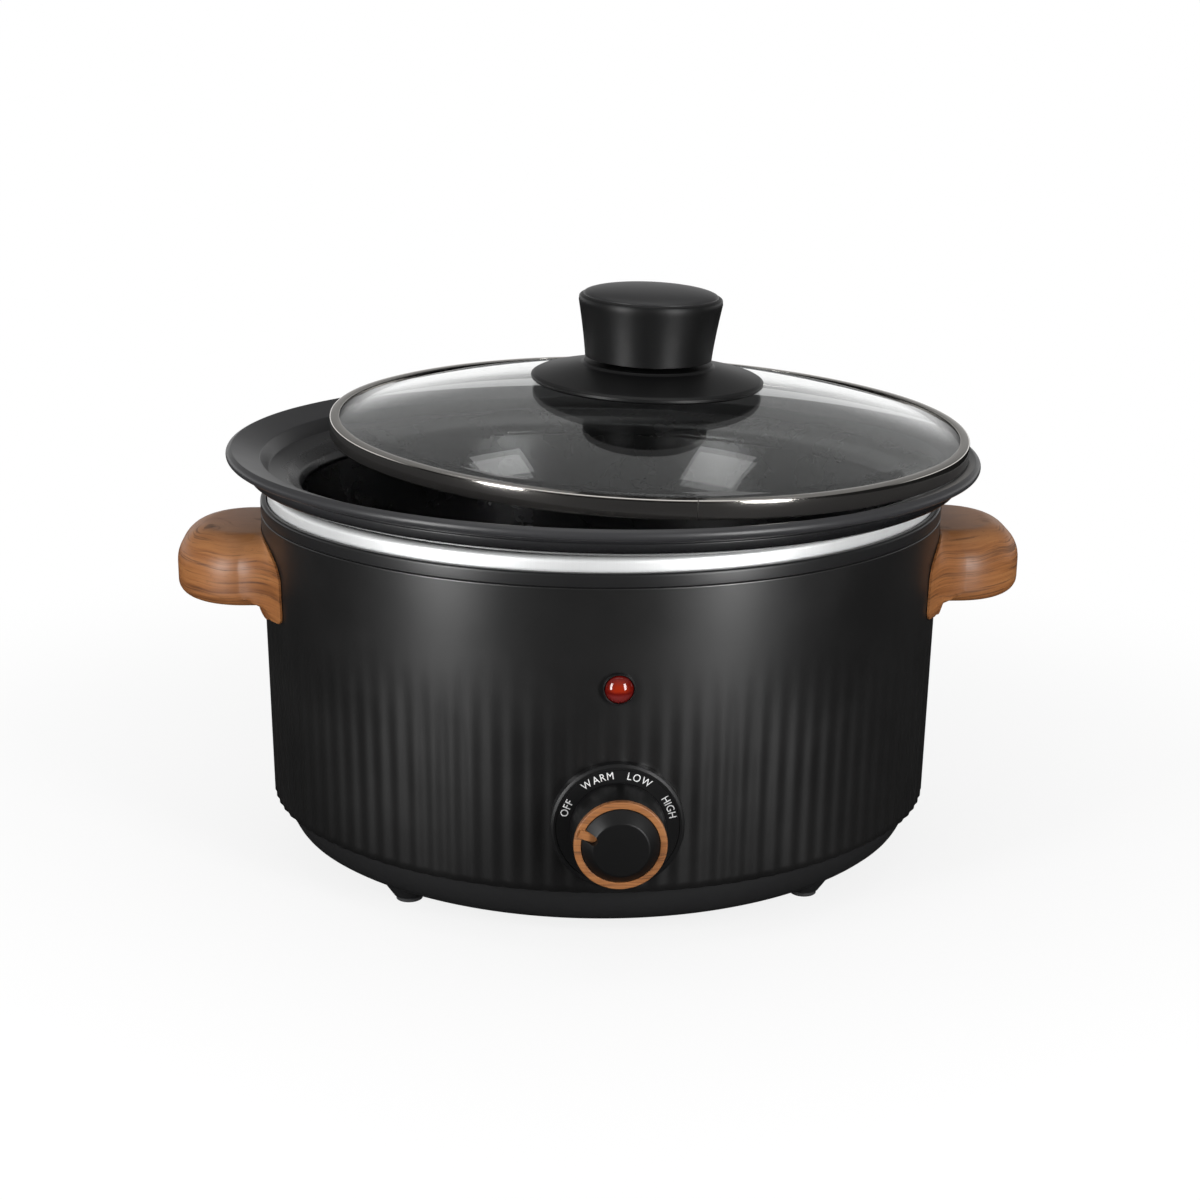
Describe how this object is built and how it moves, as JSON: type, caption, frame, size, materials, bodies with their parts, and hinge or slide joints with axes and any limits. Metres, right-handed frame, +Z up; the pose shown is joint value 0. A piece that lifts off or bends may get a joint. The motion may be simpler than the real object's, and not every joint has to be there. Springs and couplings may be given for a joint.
{
  "type": "slow cooker",
  "caption": "Oval electric slow cooker: fluted black housing, lift-out glazed bowl, glass lid left ajar, wooden side handles and a rotary control.",
  "frame": {"origin": "middle of the cooker's box in plan, on the surface that the feet stand on", "axes": "+X along the length, to the right seen from the front; +Y from the control to the back; +Z up"},
  "size_m": [0.3612, 0.2956, 0.2444],
  "materials": {
    "housing_black": "matte powder coat",
    "trim_black": "satin moulding",
    "pan_aluminium": "brushed upright on the collar, mill finish inside",
    "element_steel": "dull heater band",
    "plated_steel": "zinc plate",
    "glass_wool": "loose glass fibre mat",
    "fuse_ceramic": "plain",
    "base_plastic": "smooth moulding",
    "pad_rubber": "soft matte",
    "handle_wood": "satin, light brown with dark streaks",
    "dial_plastic": "satin",
    "switch_plastic": "moulded phenolic",
    "lens_red": "clear red, polished",
    "lamp_glass": "small neon lamp",
    "gland_rubber": "matte",
    "block_plastic": "plain",
    "wire_brown": "insulated wire",
    "wire_blue": "insulated wire",
    "wire_red": "insulated wire",
    "wire_black": "insulated wire",
    "knob_plastic": "satin phenolic",
    "crock_glaze": "high-gloss black glaze",
    "lid_glass": "clear tempered glass",
    "band_steel": "satin stainless rim"
  },
  "bodies": {
    "cooker_base": {"housing": "housing_black", "trim_ring": "trim_black", "heating_pan": "pan_aluminium", "heating_band": "element_steel", "band_terminals": "plated_steel", "insulation_wrap": "glass_wool", "thermal_fuse": "fuse_ceramic", "fuse_clip": "plated_steel", "pan_stud": "plated_steel", "stud_nut": "plated_steel", "base_pan": "base_plastic", "foot_front_left": "base_plastic", "foot_front_right": "base_plastic", "foot_rear_left": "base_plastic", "foot_rear_right": "base_plastic", "pad_front_left": "pad_rubber", "pad_front_right": "pad_rubber", "pad_rear_left": "pad_rubber", "pad_rear_right": "pad_rubber", "foot_screws": "plated_steel", "left_handle": "handle_wood", "right_handle": "handle_wood", "handle_screws": "plated_steel", "dial_plate": "dial_plastic", "rotary_switch": "switch_plastic", "switch_nut": "plated_steel", "indicator_bezel": "dial_plastic", "indicator_lens": "lens_red", "neon_lamp": "lamp_glass", "cord_gland": "gland_rubber", "gland_nut": "base_plastic", "terminal_block": "block_plastic", "live_lead": "wire_brown", "neutral_lead": "wire_blue", "element_lead": "wire_red", "lamp_leads": "wire_black"},
    "crock": {"crock": "crock_glaze"},
    "lid": {"lid_glass": "lid_glass", "lid_band": "band_steel", "lid_knob": "knob_plastic", "lid_knob_skirt": "knob_plastic", "lid_knob_cap": "knob_plastic", "lid_knob_screw": "plated_steel", "lid_knob_washer": "pad_rubber"},
    "control": {"switch_shaft": "plated_steel", "control_knob": "knob_plastic", "knob_ring": "handle_wood", "knob_cap": "knob_plastic"}
  },
  "joints": [
    {"name": "crock_lift", "type": "slide", "parent": "cooker_base", "child": "crock", "axis": [0, 0, 1], "range_m": [0, 0.16]},
    {"name": "lid_lift", "type": "slide", "parent": "crock", "child": "lid", "axis": [0, 0, 1], "range_m": [0, 0.12]},
    {"name": "control_turn", "type": "hinge", "parent": "cooker_base", "child": "control", "pos_m": [0, -0.13506, 0.0562], "axis": [0, 1, 0], "range_deg": [0, 135]}
  ]
}
